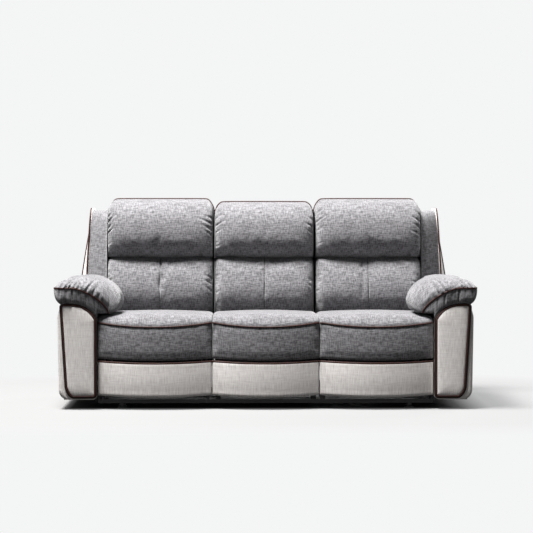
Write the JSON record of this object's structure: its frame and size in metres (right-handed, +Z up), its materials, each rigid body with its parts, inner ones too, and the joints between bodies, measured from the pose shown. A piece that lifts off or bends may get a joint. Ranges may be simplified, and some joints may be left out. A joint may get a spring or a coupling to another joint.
{
  "type": "reclining sofa",
  "caption": "Fabric sofa with reclining end seats, fold-out footrests, pillow arms and piped two-tone upholstery.",
  "frame": {"origin": "on the floor under the middle of the sofa's bounding box", "axes": "+X to the sofa's right seen from the front, -Y is the front, +Z up"},
  "size_m": [2.0592, 0.96, 1.03],
  "materials": {
    "grey_fabric": "matte",
    "ivory_fabric": "matte",
    "brown_piping": "satin",
    "black_steel": "satin",
    "zinc_steel": "satin",
    "plywood": "matte",
    "black_plastic": "matte",
    "lining_fabric": "matte"
  },
  "bodies": {
    "sofa_body": {"base_frame": "black_steel", "left_front_foot": "black_plastic", "left_rear_foot": "black_plastic", "left_arm_frame": "plywood", "left_arm_cover": "ivory_fabric", "left_arm_front_panel": "ivory_fabric", "left_arm_panel_piping": "brown_piping", "left_arm_pad": "grey_fabric", "left_arm_pad_piping": "brown_piping", "left_release_cup": "black_plastic", "right_front_foot": "black_plastic", "right_rear_foot": "black_plastic", "right_arm_frame": "plywood", "right_arm_cover": "ivory_fabric", "right_arm_front_panel": "ivory_fabric", "right_arm_panel_piping": "brown_piping", "right_arm_pad": "grey_fabric", "right_arm_pad_piping": "brown_piping", "right_release_cup": "black_plastic", "middle_seat_frame": "plywood", "middle_seat_cushion": "grey_fabric", "middle_seat_piping": "brown_piping", "middle_back_frame": "plywood", "middle_back_cover": "lining_fabric", "middle_lumbar_cushion": "grey_fabric", "middle_headrest_cushion": "grey_fabric", "middle_front_panel": "ivory_fabric", "middle_panel_piping": "brown_piping"},
    "left_seat": {"left_seat_frame": "zinc_steel", "left_seat_cushion": "grey_fabric", "left_seat_piping": "brown_piping"},
    "left_back": {"left_back_frame": "plywood", "left_back_cover": "lining_fabric", "left_lumbar_cushion": "grey_fabric", "left_headrest_cushion": "grey_fabric", "left_wing": "grey_fabric"},
    "left_lower_linkage": {"left_lower_links": "zinc_steel"},
    "left_upper_linkage": {"left_upper_links": "zinc_steel"},
    "left_support_linkage": {"left_support_links": "zinc_steel"},
    "left_footrest": {"left_footrest_board": "plywood", "left_footrest_pad": "ivory_fabric", "left_footrest_piping": "brown_piping"},
    "left_lever": {"left_release_lever": "black_plastic"},
    "right_seat": {"right_seat_frame": "zinc_steel", "right_seat_cushion": "grey_fabric", "right_seat_piping": "brown_piping"},
    "right_back": {"right_back_frame": "plywood", "right_back_cover": "lining_fabric", "right_lumbar_cushion": "grey_fabric", "right_headrest_cushion": "grey_fabric", "right_wing": "grey_fabric"},
    "right_lower_linkage": {"right_lower_links": "zinc_steel"},
    "right_upper_linkage": {"right_upper_links": "zinc_steel"},
    "right_support_linkage": {"right_support_links": "zinc_steel"},
    "right_footrest": {"right_footrest_board": "plywood", "right_footrest_pad": "ivory_fabric", "right_footrest_piping": "brown_piping"},
    "right_lever": {"right_release_lever": "black_plastic"}
  },
  "joints": [
    {"name": "left_seat_slide", "type": "slide", "parent": "sofa_body", "child": "left_seat", "axis": [0, -1, 0], "range_m": [0, 0.07]},
    {"name": "left_back_recline", "type": "hinge", "parent": "left_seat", "child": "left_back", "pos_m": [-0.5395, 0.15, 0.33], "axis": [-1, 0, 0], "range_deg": [0, 32]},
    {"name": "left_footrest_extend", "type": "hinge", "parent": "left_seat", "child": "left_lower_linkage", "pos_m": [-0.5395, -0.3326, 0.2779], "axis": [-1, 0, 0], "range_deg": [0, 111.09]},
    {"name": "left_upper_link_fold", "type": "hinge", "parent": "left_lower_linkage", "child": "left_upper_linkage", "pos_m": [-0.5395, -0.24051, 0.08655], "axis": [1, 0, 0], "range_deg": [0, 120.5]},
    {"name": "left_footrest_tilt", "type": "hinge", "parent": "left_upper_linkage", "child": "left_footrest", "pos_m": [-0.5395, -0.37173, 0.19855], "axis": [-1, 0, 0], "range_deg": [0, 93.4]},
    {"name": "left_support_link_fold", "type": "hinge", "parent": "left_lower_linkage", "child": "left_support_linkage", "pos_m": [-0.5395, -0.21053, 0.0981], "axis": [1, 0, 0], "range_deg": [0, 127.05]},
    {"name": "left_release_pull", "type": "hinge", "parent": "sofa_body", "child": "left_lever", "pos_m": [-1.004, -0.2, 0.395], "axis": [0, 1, 0], "range_deg": [0, 30], "stiffness_Nm_per_rad": 0.2, "springref_deg": -17.19},
    {"name": "right_seat_slide", "type": "slide", "parent": "sofa_body", "child": "right_seat", "axis": [0, -1, 0], "range_m": [0, 0.07]},
    {"name": "right_back_recline", "type": "hinge", "parent": "right_seat", "child": "right_back", "pos_m": [0.5395, 0.15, 0.33], "axis": [-1, 0, 0], "range_deg": [0, 32]},
    {"name": "right_footrest_extend", "type": "hinge", "parent": "right_seat", "child": "right_lower_linkage", "pos_m": [0.5395, -0.3326, 0.2779], "axis": [-1, 0, 0], "range_deg": [0, 111.09]},
    {"name": "right_upper_link_fold", "type": "hinge", "parent": "right_lower_linkage", "child": "right_upper_linkage", "pos_m": [0.5395, -0.24051, 0.08655], "axis": [1, 0, 0], "range_deg": [0, 120.5]},
    {"name": "right_footrest_tilt", "type": "hinge", "parent": "right_upper_linkage", "child": "right_footrest", "pos_m": [0.5395, -0.37173, 0.19855], "axis": [-1, 0, 0], "range_deg": [0, 93.4]},
    {"name": "right_support_link_fold", "type": "hinge", "parent": "right_lower_linkage", "child": "right_support_linkage", "pos_m": [0.5395, -0.21053, 0.0981], "axis": [1, 0, 0], "range_deg": [0, 127.05]},
    {"name": "right_release_pull", "type": "hinge", "parent": "sofa_body", "child": "right_lever", "pos_m": [1.004, -0.2, 0.395], "axis": [0, -1, 0], "range_deg": [0, 30], "stiffness_Nm_per_rad": 0.2, "springref_deg": -17.19}
  ],
  "couplings": [
    {"joint": "left_seat_slide", "follows": "left_back_recline", "m_per_rad": 0.12533},
    {"joint": "left_upper_link_fold", "follows": "left_footrest_extend", "ratio": 1.0844},
    {"joint": "left_footrest_tilt", "follows": "left_footrest_extend", "ratio": 0.84058},
    {"joint": "left_support_link_fold", "follows": "left_footrest_extend", "ratio": 1.1433},
    {"joint": "right_seat_slide", "follows": "right_back_recline", "m_per_rad": 0.12533},
    {"joint": "right_upper_link_fold", "follows": "right_footrest_extend", "ratio": 1.0844},
    {"joint": "right_footrest_tilt", "follows": "right_footrest_extend", "ratio": 0.84058},
    {"joint": "right_support_link_fold", "follows": "right_footrest_extend", "ratio": 1.1433}
  ]
}
